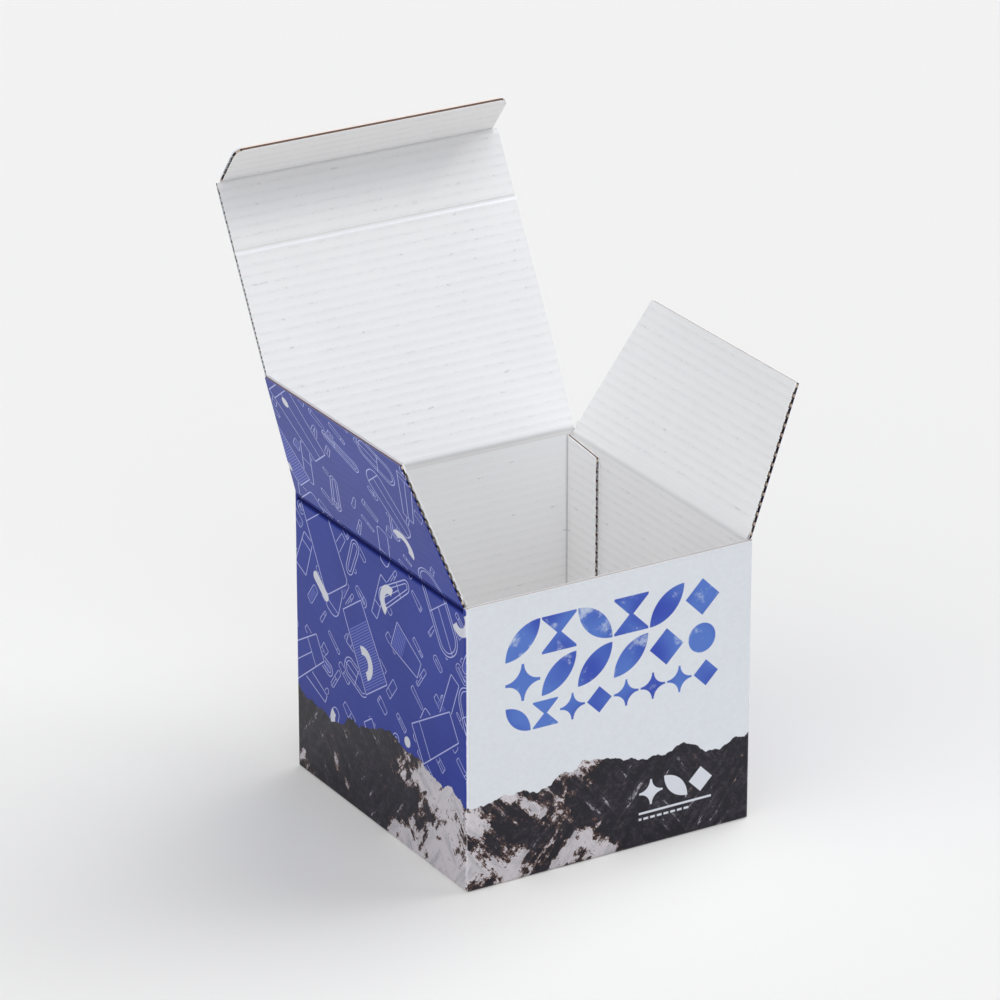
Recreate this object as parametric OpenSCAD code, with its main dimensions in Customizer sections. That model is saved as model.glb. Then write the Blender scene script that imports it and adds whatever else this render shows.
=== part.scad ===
// Tuck-top carton folded from one sheet of fine-flute corrugated board.
// Front panel faces -Y, lid hinged on the back panel, floor of the carton at z = 0.

/* [Carton] */
// Width over the two side panels
carton_w = 108.4; // [96:0.2:130]
// Depth over the front and back panels
carton_d = 111.8; // [98:0.2:130]
// Height from the table to the cut edge of the front panel
carton_h = 100; // [80:1:130]
// Outer radius of the four upright creases
corner_r = 1.2; // [0.6:0.1:1.5]
// Outer radius of the folds along the bottom edges
bottom_r = 1.2; // [0.6:0.1:1.5]

/* [Board] */
// Thickness of the corrugated board
board_t = 1.6; // [1.4:0.05:1.8]
// Thickness of each flat liner
liner_t = 0.25; // [0.18:0.01:0.32]
// Thickness of the wavy medium between the liners
medium_t = 0.2; // [0.14:0.01:0.28]
// Distance from one flute to the next
flute_pitch = 3.3; // [2.8:0.1:4]

/* [Lid] */
// Lean of the lid backwards from upright, degrees
lid_lean = 29.3; // [5:0.1:60]
// Gap between the front panel and the middle of the closed tuck flap
tuck_setback = 3.7; // [2.4:0.1:6]
// Distance from the lid hinge to the cross score
lid_score_at = 80.9; // [60:0.1:85]
// How much each side of the lid is set in at its hinge
lid_hinge_inset = 0.6; // [0.5:0.05:2]
// How much each side of the lid is set in at its free end
lid_tip_inset = 0.1; // [0:0.05:1.5]
// Distance over which the side of the lid runs out to its full width
lid_inset_run = 25; // [15:1:50]

/* [Tuck flap] */
// Length of the tuck flap from its fold
tuck_len = 17.5; // [12:0.5:24]
// Bend of the tuck flap out of the lid's plane, degrees
tuck_bend = 67; // [0:0.5:90]
// How much each end of the tuck flap is set in from the carton's side
tuck_inset = 1.9; // [1.2:0.1:6]
// Radius of the two free corners of the tuck flap
tuck_corner_r = 3; // [1:0.5:8]

/* [Dust flaps] */
// Lean of the left dust flap outwards from upright, degrees
left_lean = 19.5; // [19.5:0.5:60]
// Lean of the right dust flap outwards from upright, degrees
right_lean = 27; // [19.5:0.5:60]
// Distance that each closed dust flap stops short of the middle
dust_gap = 0.6; // [0.3:0.1:10]
// Set-back of the rear corner at the free edge
dust_rear_taper = 11.6; // [4:0.2:20]
// Set-back of the front corner at the free edge
dust_front_taper = 9; // [4:0.2:20]
// Height of the shoulder above the hinge, on the front side
dust_shoulder_h = 11.5; // [6:0.5:20]
// Set-back of the shoulder
dust_shoulder_in = 1.8; // [0.6:0.1:4]

/* [Creases] */
// Height of the side hinges below the front panel's cut edge
side_hinge_drop = 0.5; // [0.2:0.1:2]
// Clearance between panels that lie on each other when closed
stack_gap = 0.2; // [0.15:0.05:0.6]
// Thickness of the board where a crease presses it together
crease_t = 1; // [0.9:0.05:1.2]
// Length over which the board comes back from a crease to its full thickness
crease_run = 1.6; // [1.2:0.1:2.2]
// Clearance round a folding edge
hinge_gap = 0.14; // [0.1:0.02:0.3]
// Clearance between a flap's side and the panel beside it
side_gap = 0.3; // [0.2:0.05:0.8]
// Length of a dust flap that is pressed flat beside its hinge
crush_flat = 1.2; // [0.8:0.1:1.6]
// Length over which the pressed board comes back to full thickness
crush_ramp = 2.8; // [1.6:0.1:4]
// Width of a pressed score line
score_w = 1.8; // [1:0.1:2.6]
// Depth of a pressed score line
score_depth = 0.35; // [0.15:0.05:0.5]

/* [Glue tab] */
// Reach of the glue tab forwards along the right panel
tab_reach = 18; // [12:0.5:24]
// Drop of the tab's sloping top over its reach
tab_top_drop = 1.9; // [0.5:0.1:12]
// Length of the flutes that stay open behind the tab's cut edge
tab_flute_depth = 14; // [4:0.5:16]

/* [Bottom] */
// Distance of the lock behind the middle of the bottom
lock_setback = 8; // [6.5:0.5:12]
// Half width of the locking tongue at its root
tongue_half_w = 25; // [18:0.5:30]
// Reach of the locking tongue behind the lock
tongue_reach = 15; // [12:0.5:24]
// Distance over which the tongue rises through the other flaps
tongue_rise_run = 11; // [9:0.5:14]
// Set-back of the slanted front edge of a bottom side flap
bottom_slant = 26; // [18:0.5:34]
// How much each side of the tongue is set in at its end
tongue_taper = 4; // [0:0.5:8]
// Length over which the front flap narrows towards its end
front_slant_run = 30; // [20:0.5:40]
// Reach of the front flap's end past the notch on each side
front_end_spare = 4; // [2:0.5:8]
// How much the notch widens on each side towards its mouth
notch_flare = 2; // [0.5:0.5:4]
// Reach of the back flap's legs past the root of the tongue
leg_reach = 4; // [2:0.5:8]
// Cut of the outer corners of the back flap's legs
leg_cut = 8; // [3:0.5:12]

/* [Hidden] */

$fn = 48;
eps = 0.01;
half_w = carton_w / 2;
half_d = carton_d / 2;
inner_w = half_w - board_t;
inner_d = half_d - board_t;

// Hinge lines: each lies in the middle of its board's thickness
side_hinge_z = carton_h - side_hinge_drop;
lid_hinge_z = side_hinge_z + board_t + stack_gap;
side_hinge_x = half_w - board_t / 2;
lid_hinge_y = half_d - board_t / 2;
side_top_z = side_hinge_z - crease_t / 2 - hinge_gap;
back_top_z = lid_hinge_z - crease_t / 2 - hinge_gap;

lid_len = lid_hinge_y + inner_d - tuck_setback;
dust_len = side_hinge_x - dust_gap;
dust_half = inner_d - side_gap;

// Height of the wave, which bites a little into both liners
wave_room = board_t / 2 - liner_t;
wave_bite = medium_t / 4;
wave_amp = wave_room - medium_t / 2 + wave_bite;
crest_half = flute_pitch / 360 * acos((wave_room - medium_t / 2) / wave_amp);
wave_steps = 8;
press_steps = 5;

white_board = [0.88, 0.90, 0.92];
white_print = [0.82, 0.84, 0.88];
blue_print = [0.37, 0.38, 0.63];

// Places

// Stands a flap on its hinge: its own hinge runs along X, it rises along Z, and its outer face is +Y
module on_hinge(point, turn, lean) {
    translate(point) rotate([0, 0, turn]) rotate([-lean, 0, 0]) children();
}

// Puts the tuck flap's fold at the end of the lid, both in the lid's own place
module on_lid_end() {
    on_hinge([0, lid_hinge_y, lid_hinge_z], 0, lid_lean)
        translate([0, 0, lid_len]) rotate([tuck_bend, 0, 0]) children();
}

// Board

// A sheet of board standing on the XZ plane, cut to an outline of (x, z) points
module sheet(outline) {
    rotate([90, 0, 0]) linear_extrude(board_t, center = true) polygon(outline);
}

// A bar along X with the section (y, z)
module bar(section, length) {
    rotate([90, 0, 90]) linear_extrude(length, center = true) polygon(section);
}

// The space between two crests of the wave on one side of the medium
function flute_section(start, side) = [
    for (i = [0:wave_steps])
        let (u = crest_half + (flute_pitch - 2 * crest_half) * i / wave_steps)
        [side * (wave_amp * cos(360 * u / flute_pitch) + medium_t / 2), start + u]
];

// Open flutes along X between the heights from_z and to_z
module flutes(from_z, to_z, length) {
    waves = floor((to_z - from_z) / flute_pitch);
    for (i = [0:1:waves - 1]) {
        bar(flute_section(from_z + i * flute_pitch, -1), length);
        if (i < waves - 1)
            bar(flute_section(from_z + (i + 0.5) * flute_pitch, 1), length);
    }
}

// The rounded edge that turns on a hinge line along X
module folding_edge(half_length) {
    rotate([0, 90, 0]) cylinder(h = 2 * half_length, d = crease_t, center = true);
}

// What a crease presses away on one side of a board that starts at the height 0
function pressed_section(side) = concat(
    [[side * board_t, -board_t], [side * crease_t / 2, -board_t]],
    [
        for (i = [0:press_steps])
            let (share = (1 - cos(180 * i / press_steps)) / 2)
            [side * (crease_t + (board_t - crease_t) * share) / 2, crease_run * i / press_steps]
    ],
    [[side * board_t, crease_run]]
);

// Both sides of a pressed edge along X
module pressed(length) {
    for (side = [-1, 1])
        bar(pressed_section(side), length);
}

// A pressed line along X on the inner face, at the height z
module score(z, length) {
    radius = (score_w * score_w / 4 + score_depth * score_depth) / (2 * score_depth);
    translate([0, -board_t / 2 - radius + score_depth, z])
        rotate([0, 90, 0]) cylinder(h = length, r = radius, center = true);
}

// Lid and tuck flap

module lid() {
    hinge_half = half_w - lid_hinge_inset;
    tip_half = half_w - lid_tip_inset;
    end_z = lid_len - crease_t / 2 - hinge_gap;
    outline = [
        [-hinge_half, 0], [hinge_half, 0],
        [tip_half, lid_inset_run], [tip_half, end_z],
        [-tip_half, end_z], [-tip_half, lid_inset_run]
    ];
    color(white_board) on_hinge([0, lid_hinge_y, lid_hinge_z], 0, lid_lean) {
        difference() {
            sheet(outline);
            pressed(carton_w);
            translate([0, 0, end_z]) mirror([0, 0, 1]) pressed(carton_w);
            flutes(2 * board_t, lid_score_at - score_w, carton_w);
            flutes(lid_score_at + score_w, end_z - crease_run, carton_w);
            score(lid_score_at, carton_w);
        }
        folding_edge(hinge_half);
    }
}

// Outline of the tuck flap: straight ends and two round corners, free edge up
module tuck_outline(half) {
    translate([-half, 0]) square([2 * half, tuck_len - tuck_corner_r]);
    translate([-half + tuck_corner_r, 0]) square([2 * (half - tuck_corner_r), tuck_len]);
    for (side = [-1, 1])
        translate([side * (half - tuck_corner_r), tuck_len - tuck_corner_r]) circle(tuck_corner_r);
}

module tuck_flap() {
    half = half_w - tuck_inset;
    color(white_board) on_lid_end() {
        difference() {
            rotate([90, 0, 0]) linear_extrude(board_t, center = true) tuck_outline(half);
            pressed(carton_w);
            flutes(crease_run + liner_t, tuck_len - liner_t, carton_w);
        }
        folding_edge(half);
    }
}

// Dust flaps

// The left dust flap on its hinge, leaning outwards; its rear end is at +X of its own frame
module dust_flap(lean) {
    outline = [
        [-dust_half, 0], [dust_half, 0],
        [dust_half - dust_rear_taper, dust_len],
        [-dust_half + dust_front_taper, dust_len],
        [-dust_half + dust_shoulder_in, dust_shoulder_h],
        [-dust_half, board_t]
    ];
    crush = [
        [-board_t, 0], [0, 0], [0, crush_flat],
        [-board_t / 2, crush_flat + crush_ramp], [-board_t, crush_flat + crush_ramp]
    ];
    on_hinge([-side_hinge_x, 0, side_hinge_z], 90, lean) {
        difference() {
            sheet(outline);
            bar(pressed_section(1), carton_d);
            bar(crush, carton_d);
            flutes(crush_flat + crush_ramp, dust_len - liner_t, carton_d);
        }
        folding_edge(dust_half);
    }
}

module left_dust_flap() {
    color(blue_print) dust_flap(left_lean);
}

module right_dust_flap() {
    color(white_board) mirror([1, 0, 0]) dust_flap(right_lean);
}

// Body: four panels, the glue tab and the locked bottom, folded from one piece

// The carton's footprint with its rounded creases
module footprint() {
    square([carton_w - 2 * corner_r, carton_d], center = true);
    square([carton_w, carton_d - 2 * corner_r], center = true);
    for (x = [-1, 1], y = [-1, 1])
        translate([x * (half_w - corner_r), y * (half_d - corner_r)]) circle(corner_r);
}

// The carton seen from one side, with its rounded bottom folds
module side_view(half) {
    translate([-half, bottom_r]) square([2 * half, carton_h]);
    translate([bottom_r - half, 0]) square([2 * (half - bottom_r), carton_h]);
    for (side = [-1, 1])
        translate([side * (half - bottom_r), bottom_r]) circle(bottom_r);
}

// The outer form of the sleeve
module sleeve_form() {
    intersection() {
        linear_extrude(back_top_z) footprint();
        rotate([90, 0, 0]) linear_extrude(2 * carton_d, center = true) side_view(half_w);
        rotate([90, 0, 90]) linear_extrude(2 * carton_w, center = true) side_view(half_d);
    }
}

module panel(x, y, w, d, h) {
    translate([x - w / 2, y - d / 2, 0]) cube([w, d, h]);
}

// A panel with a pressed crease along its top, between the corners
module creased_panel(x, y, w, d, h, turn, length) {
    difference() {
        panel(x, y, w, d, h);
        translate([x, y, h]) rotate([0, 0, turn]) mirror([0, 0, 1]) pressed(length);
    }
}

module panels() {
    side_x = half_w - board_t / 2;
    end_y = half_d - board_t / 2;
    intersection() {
        sleeve_form();
        union() {
            panel(0, -end_y, carton_w, board_t, carton_h);
            creased_panel(0, end_y, carton_w, board_t, back_top_z, 0, 2 * inner_w);
            for (side = [-1, 1])
                creased_panel(side * side_x, 0, board_t, carton_d, side_top_z, 90, 2 * inner_d);
        }
    }
}

// The glue tab inside the right panel, with its flutes open at the cut edge
module glue_tab() {
    cut_y = inner_d - tab_reach;
    top_z = side_top_z - stack_gap;
    low_z = 3 * board_t;
    difference() {
        translate([inner_w - board_t, 0, 0]) rotate([90, 0, 90])
            linear_extrude(board_t + eps) polygon([
                [cut_y, low_z], [inner_d + eps, low_z],
                [inner_d + eps, top_z], [cut_y, top_z - tab_top_drop]
            ]);
        translate([inner_w - board_t / 2, cut_y, 0]) rotate([0, 0, 90])
            flutes(low_z + board_t, top_z - tab_top_drop - liner_t, 2 * tab_flute_depth);
    }
}

// A flat bottom flap in one of the layers, counted upwards from the table
module bottom_flap(layer, outline) {
    translate([0, 0, layer * board_t]) linear_extrude(board_t) polygon(outline);
}

// The locking tongue: it leaves the lowest layer, rises and lies on the highest
module tongue() {
    root_y = lock_setback - tongue_rise_run / 2;
    top_y = lock_setback + tongue_rise_run / 2;
    end_y = lock_setback + tongue_reach;
    high = 3 * board_t;
    profile = [
        [root_y - 2 * board_t, 0], [root_y, 0], [top_y, high], [end_y, high],
        [end_y, high + board_t], [top_y - board_t / 2, high + board_t],
        [root_y - board_t / 2, board_t], [root_y - 2 * board_t, board_t]
    ];
    intersection() {
        bar(profile, carton_w);
        linear_extrude(5 * board_t) polygon([
            [-tongue_half_w, -half_d], [tongue_half_w, -half_d], [tongue_half_w, lock_setback],
            [tongue_half_w - tongue_taper, end_y], [tongue_taper - tongue_half_w, end_y],
            [-tongue_half_w, lock_setback]
        ]);
    }
}

module bottom() {
    clear_w = inner_w - side_gap;
    clear_d = inner_d - side_gap;
    into = board_t / 2;
    slot = tongue_half_w + side_gap + board_t;
    behind = lock_setback + tongue_rise_run / 2 + board_t;
    front_end = lock_setback - tongue_rise_run / 2 - board_t;
    leg_end = front_end - leg_reach;

    // Front flap, the lowest, with the tongue at its end
    bottom_flap(0, [
        [-clear_w, -inner_d - into], [clear_w, -inner_d - into],
        [clear_w, front_end - front_slant_run], [slot + front_end_spare, front_end],
        [-slot - front_end_spare, front_end], [-clear_w, front_end - front_slant_run]
    ]);
    tongue();

    // Two side flaps over it, with slanted front edges that leave the tongue free
    for (side = [-1, 1])
        bottom_flap(1, [
            [side * (inner_w + into), -clear_d], [side * (inner_w + into), clear_d],
            [side * bottom_slant, clear_d], [side * 2 * board_t, clear_d - bottom_slant],
            [side * 2 * board_t, behind], [side * slot, behind],
            [side * slot, -clear_d + bottom_slant]
        ]);

    // Back flap on top, with the notch that holds the tongue
    bottom_flap(2, [
        [-clear_w, inner_d + into], [clear_w, inner_d + into],
        [clear_w, leg_end + leg_cut], [clear_w - leg_cut, leg_end],
        [slot + notch_flare, leg_end], [slot, behind],
        [-slot, behind], [-slot - notch_flare, leg_end],
        [leg_cut - clear_w, leg_end], [-clear_w, leg_end + leg_cut]
    ]);
}

module box_body() {
    color(white_print) union() {
        panels();
        glue_tab();
        bottom();
    }
}

box_body();
lid();
tuck_flap();
left_dust_flap();
right_dust_flap();
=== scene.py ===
"""Looks of a tuck-top carton of printed corrugated board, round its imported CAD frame.

The frame has the board's true form: liners, wavy medium, open flutes and pressed creases. This
script gives every surface its paper and print, in materials that read each piece's own
coordinates, and adds the paper skins that cross the four turning creases. Sizes are in
millimetres until they reach Blender, which works in metres.
"""

import logging
from collections.abc import Callable
from dataclasses import dataclass
from enum import Enum
from math import cos, pi, radians, sin

import bmesh
import bpy
from mathutils import Matrix, Vector


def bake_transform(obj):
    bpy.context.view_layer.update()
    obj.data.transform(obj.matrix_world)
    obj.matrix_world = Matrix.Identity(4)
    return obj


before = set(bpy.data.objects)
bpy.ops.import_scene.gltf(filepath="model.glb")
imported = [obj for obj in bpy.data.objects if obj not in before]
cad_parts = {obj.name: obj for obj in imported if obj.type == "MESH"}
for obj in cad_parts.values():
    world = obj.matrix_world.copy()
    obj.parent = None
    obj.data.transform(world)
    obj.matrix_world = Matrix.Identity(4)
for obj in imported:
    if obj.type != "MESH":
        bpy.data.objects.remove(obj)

LOG = logging.getLogger("carton")
MM = 0.001

# Sizes of the carton, as in the part's source
HALF_W = 54.2
HALF_D = 55.9
BOARD = 1.6
LINER = 0.25
CREASE = 1.0
CREASE_RUN = 1.6
FLUTE = 3.3
SIDE_HINGE_Z = 99.5
LID_HINGE_Z = 101.3
LID_LEAN = 29.3
LID_LENGTH = 105.7
SCORE_AT = 80.9
TUCK_BEND = 67.0
TUCK_LENGTH = 17.5
DUST_LENGTH = 52.8
LEFT_LEAN = 19.5
RIGHT_LEAN = 27.0
CRUSH_END = 4.0

# How paper and ink take light: specular level, roughness, and the bump's depth in mm
GLOSS = 0.2
PAPER_ROUGH = 0.86
INK_ROUGH = 0.42
GRAIN_DEPTH = 0.03

# The least share of a face's normal along the way that it looks, and at a flap's end
FACING = 0.7
END_FACING = 0.93

MID_X = HALF_W - BOARD / 2
MID_Y = HALF_D - BOARD / 2

Colour = tuple[float, float, float, float]
Number = "Value | float"
Tint = "Value | Colour"
Place = "Value | tuple[Number, ...]"
Inputs = dict[str | int, object]


def ink(red: int, green: int, blue: int) -> Colour:
    """A screen colour, 0 to 255, as the linear colour that Blender's sockets take."""

    def linear(value: int) -> float:
        """One channel of the screen colour without its gamma."""
        share = value / 255
        return share / 12.92 if share <= 0.04045 else ((share + 0.055) / 1.055) ** 2.4

    return (linear(red), linear(green), linear(blue), 1.0)


def ramp(value: float, start: float, end: float) -> float:
    """Rises evenly from 0 at the start to 1 at the end."""
    return min(1.0, max(0.0, (value - start) / (end - start)))


def ease(value: float, start: float, end: float) -> float:
    """Rises smoothly from 0 at the start to 1 at the end."""
    share = ramp(value, start, end)
    return share * share * (3 - 2 * share)


# Node trees


def arithmetic(operation: str) -> Callable[..., "Value"]:
    """A method of Value that does one operation of the Math node."""

    def method(value: "Value", other: Number = 0.0) -> "Value":
        """The result, with another number where the operation takes two."""
        return value.shade.math(operation, value, other)

    return method


class Value:
    """A number socket that takes part in ordinary arithmetic.

    Masks meet with & and join with |, the smaller and the larger of two numbers.
    """

    __add__ = __radd__ = arithmetic("ADD")
    __sub__ = arithmetic("SUBTRACT")
    __mul__ = __rmul__ = arithmetic("MULTIPLY")
    __truediv__ = arithmetic("DIVIDE")
    __abs__ = arithmetic("ABSOLUTE")
    __gt__ = arithmetic("GREATER_THAN")
    __lt__ = arithmetic("LESS_THAN")
    __and__ = arithmetic("MINIMUM")
    __or__ = arithmetic("MAXIMUM")
    floor = arithmetic("FLOOR")
    fract = arithmetic("FRACT")

    def __init__(self, shade: "Shade", socket: bpy.types.NodeSocket) -> None:
        """Keeps the socket and the tree that it belongs to."""
        self.shade = shade
        self.socket = socket

    def __rsub__(self, other: Number) -> "Value":
        """The difference from a plain number."""
        return self.shade.math("SUBTRACT", other, self)

    def flipped(self) -> "Value":
        """A mask turned round."""
        return 1.0 - self


class Shade:
    """The node tree of one material or world, with one method that makes any node."""

    def __init__(self, owner: "bpy.types.Material | bpy.types.World") -> None:
        """Empties the node tree of a new material or world."""
        self.owner = owner
        owner.use_nodes = True
        self.tree = owner.node_tree
        self.tree.nodes.clear()

    def node(
        self, kind: str, settings: dict[str, str] | None = None, inputs: Inputs | None = None
    ) -> bpy.types.Node:
        """Makes a node of a kind, with its properties and the values or links of its sockets."""
        made = self.tree.nodes.new(kind)
        for name, setting in (settings or {}).items():
            setattr(made, name, setting)
        for key, given in (inputs or {}).items():
            if isinstance(given, Value):
                self.tree.links.new(given.socket, made.inputs[key])
            else:
                made.inputs[key].default_value = given
        return made

    def value(self, node: bpy.types.Node, output: int | str = 0) -> Value:
        """One output of a node as a value."""
        return Value(self, node.outputs[output])

    def math(self, operation: str, first: Number, second: Number = 0.0) -> Value:
        """A Math node."""
        return self.value(self.node("ShaderNodeMath", {"operation": operation}, {0: first, 1: second}))

    def smooth(self, value: Value, low: float, high: float) -> Value:
        """Rises softly from 0 at low to 1 at high, or falls where low is the larger."""
        settings = {"interpolation_type": "SMOOTHSTEP"}
        inputs = {"Value": value, "From Min": low, "From Max": high}
        return self.value(self.node("ShaderNodeMapRange", settings, inputs))

    def pick(self, mask: Value, off: Number, on: Number) -> Value:
        """One number where the mask is 0 and another where it is 1."""
        node = self.node("ShaderNodeMix", {"data_type": "FLOAT"}, {0: mask, 2: off, 3: on})
        return self.value(node)

    def blend(self, mask: Number, off: Tint, on: Tint) -> Value:
        """One colour where the mask is 0 and another where it is 1."""
        node = self.node("ShaderNodeMix", {"data_type": "RGBA"}, {0: mask, 6: off, 7: on})
        return self.value(node, 2)

    def vector(self, x: Number, y: Number, z: Number = 0.0) -> Value:
        """Three numbers as a vector."""
        return self.value(self.node("ShaderNodeCombineXYZ", inputs={0: x, 1: y, 2: z}))

    def split(self, vector: Value) -> tuple[Value, Value, Value]:
        """The three numbers of a vector."""
        node = self.node("ShaderNodeSeparateXYZ", inputs={0: vector})
        return self.value(node, 0), self.value(node, 1), self.value(node, 2)

    def mapped(self, vector: Value, inputs: Inputs) -> Value:
        """A vector as it reads in a frame with its own place, turn and scale."""
        settings = {"vector_type": "TEXTURE"}
        return self.value(self.node("ShaderNodeMapping", settings, {"Vector": vector, **inputs}))

    def length(self, x: Value, y: Value) -> Value:
        """The length of a flat vector."""
        settings = {"operation": "LENGTH"}
        return self.value(self.node("ShaderNodeVectorMath", settings, {0: self.vector(x, y)}), 1)

    def turned(self, x: Value, y: Value, angle: Number) -> tuple[Value, Value]:
        """A flat vector turned by an angle in radians."""
        settings = {"rotation_type": "Z_AXIS"}
        inputs = {"Vector": self.vector(x, y), "Angle": angle}
        out_x, out_y, _ = self.split(self.value(self.node("ShaderNodeVectorRotate", settings, inputs)))
        return out_x, out_y

    def noise(self, place: Place, scale: float, detail: float = 2.0, rough: float = 0.5) -> Value:
        """Smooth noise about 0.5."""
        vector = place if isinstance(place, Value) else self.vector(*place)
        inputs = {"Vector": vector, "Scale": scale, "Detail": detail, "Roughness": rough}
        return self.value(self.node("ShaderNodeTexNoise", inputs=inputs))

    def chance(self, x: Number, y: Number, seed: float) -> tuple[Value, Value, Value]:
        """Three random numbers from 0 to 1 for a cell."""
        settings = {"noise_dimensions": "3D"}
        node = self.node("ShaderNodeTexWhiteNoise", settings, {0: self.vector(x, y, seed)})
        return self.split(self.value(node, "Color"))

    def surface(self, colour: Value, rough: Number, normal: Value, level: float) -> bpy.types.Material:
        """Closes the tree with the shader, whose specular level is the same all over."""
        inputs = {"Base Color": colour, "Roughness": rough, "Normal": normal, "Specular IOR Level": level}
        shader = self.node("ShaderNodeBsdfPrincipled", inputs=inputs)
        self.node("ShaderNodeOutputMaterial", inputs={0: Value(self, shader.outputs[0])})
        return self.owner


@dataclass
class Spot:
    """A place on the sheet: along the flutes and across them, in mm."""

    along: Value
    up: Value


# Papers and prints


@dataclass(frozen=True)
class WhiteLiner:
    """Uncoated white paper over flutes: faint ridges, short grey dashes on them and a fine mottle."""

    paper: Colour = ink(245, 244, 242)
    dash: Colour = ink(208, 208, 208)
    shade_line: Colour = ink(233, 232, 231)
    dash_strength: float = 0.95

    def lines(self, shade: Shade, spot: Spot, crest: float) -> tuple[Value, Value]:
        """How far into a flute a point lies, from -0.5 to 0.5 with 0 at a crest, and the dashes."""
        wave = (spot.up - (crest - FLUTE / 2)) / FLUTE
        row = wave.floor()
        near = wave.fract() - 0.5
        place = shade.vector(spot.along * 0.22, row * 7.31, crest)
        strong = shade.smooth(shade.noise(place, 1.0, 4.0, 0.7), 0.56, 0.7)
        place = shade.vector(spot.along * 0.3, row * 5.17, crest + 40.0)
        faint = shade.smooth(shade.noise(place, 1.0, 5.0, 0.8), 0.42, 0.72) * 0.34
        place = shade.vector(spot.along, spot.up, crest)
        patchy = shade.smooth(shade.noise(place, 0.07, 2.0), 0.34, 0.66)
        wobble = (shade.noise((spot.along * 0.5, row * 3.7), 1.0, 3.0) - 0.5) * 0.5
        strokes = strong * (patchy * 0.75 + 0.25) | faint
        return near, shade.smooth(abs(near + wobble), 0.14, 0.02) * strokes

    def colour(self, shade: Shade, spot: Spot, near: Value, dashes: Value) -> Value:
        """The paper's colour."""
        mottle = shade.noise((spot.along * 0.3, spot.up * 1.5), 1.0, 4.0, 0.7)
        cloud = shade.noise((spot.along, spot.up), 0.05, 2.0)
        uneven = shade.noise((spot.along * 0.12, spot.up * 0.3), 1.0, 2.0)
        ridge = shade.smooth(abs(near), 0.42, 0.05) * uneven * 0.4
        shaded = ridge + (mottle - 0.5) * 0.6 + (cloud - 0.5) * 0.5
        plain = shade.blend(shaded, self.paper, self.shade_line)
        return shade.blend(dashes * self.dash_strength, plain, self.dash)


@dataclass(frozen=True)
class KraftMedium:
    """The brown paper between the liners: painted shade in the open flutes, pale where it was cut."""

    cut: Colour = ink(212, 192, 172)
    crushed: Colour = ink(110, 86, 70)
    fibre_and_hollow_shade: Colour = ink(46, 34, 30)
    core: float = 0.36

    def colour(self, shade: Shade, place: Value, near: Value, crushed: Value) -> Value:
        """Brown fibres with painted shade in each open flute, but none where the edge is crushed."""
        fibre = shade.smooth(shade.noise(place, 1400.0, 3.0, 0.7), 0.35, 0.7) * 0.4
        # Painted shade in the middle of each open flute; the same dark colour also tints the fibres
        open_edge = shade.blend(shade.smooth(abs(near), 0.38, 0.3), self.cut, self.fibre_and_hollow_shade)
        edge = shade.blend(crushed, open_edge, self.crushed)
        return shade.blend(fibre, edge, self.fibre_and_hollow_shade)


@dataclass(frozen=True)
class OutlineLayer:
    """One layer of the line drawing: a rounded frame in each cell of a tilted grid.

    The sides are the least and the greatest half size of a frame, line is half a line's width,
    and empty is the share of cells without a frame.
    """

    cell: float
    tilt: float
    seed: float
    long_side: tuple[float, float]
    short_side: tuple[float, float]
    line: float = 0.17
    empty: float = 0.1

    def draw(self, shade: Shade, spot: Spot) -> tuple[Value, Value, Value]:
        """Masks of its lines, of the faint hatching in some frames and of what the frames cover."""
        tilt = radians(self.tilt)
        right, over = shade.turned(spot.along / self.cell, spot.up / self.cell, tilt)
        column, row = right.floor(), over.floor()
        first, second, third = shade.chance(column, row, self.seed)
        fourth, fifth, sixth = shade.chance(column, row, self.seed + 7.5)
        quarter = (first > 0.5) * (pi / 2)
        x, y = (right.fract() - 0.5) * self.cell, (over.fract() - 0.5) * self.cell
        x, y = shade.turned(x, y, quarter)
        half_x = second * (self.long_side[1] - self.long_side[0]) + self.long_side[0]
        half_y = third * (self.short_side[1] - self.short_side[0]) + self.short_side[0]
        y = y - (sixth - 0.5) * (self.cell * 0.98 - half_y * 2)
        # A frame tapers to one end, like a pen or a bottle
        half_y = half_y * (x / half_x * ((fifth * 3).fract() - 0.35) * 0.5 + 1.0)
        corner = (half_y * (fourth * 1.9 - 0.45) | 0.3) & half_y
        out_x, out_y = abs(x) - half_x + corner, abs(y) - half_y + corner
        edge = shade.length(out_x | 0.0, out_y | 0.0) + ((out_x | out_y) & 0.0) - corner
        inside = shade.smooth(edge, 0.05, -0.05)
        frame_line = shade.smooth(abs(edge), self.line * 1.5, self.line * 0.5)
        wide, thin = self.line * 1.3, self.line * 0.4
        inset = shade.smooth(abs(edge + 1.2), wide, thin) * (fourth > 0.72)
        bar_at = half_x * (fifth * 1.6 - 0.8)
        past_bar = x > bar_at
        bar = shade.smooth(abs(x - bar_at), wide, thin) * inside * (sixth > 0.3)
        spine = shade.smooth(abs(y), wide, thin) * inside * past_bar * (sixth > 0.6)
        hatch = ((x / 0.9).fract() > 0.5) * shade.smooth(edge, -0.5, -0.6) * past_bar * (sixth < 0.24)
        shown = first > self.empty
        lines = frame_line | inset | bar | spine
        return lines * shown, hatch * shown, shade.smooth(edge, 0.9, 0.7) * shown


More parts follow.
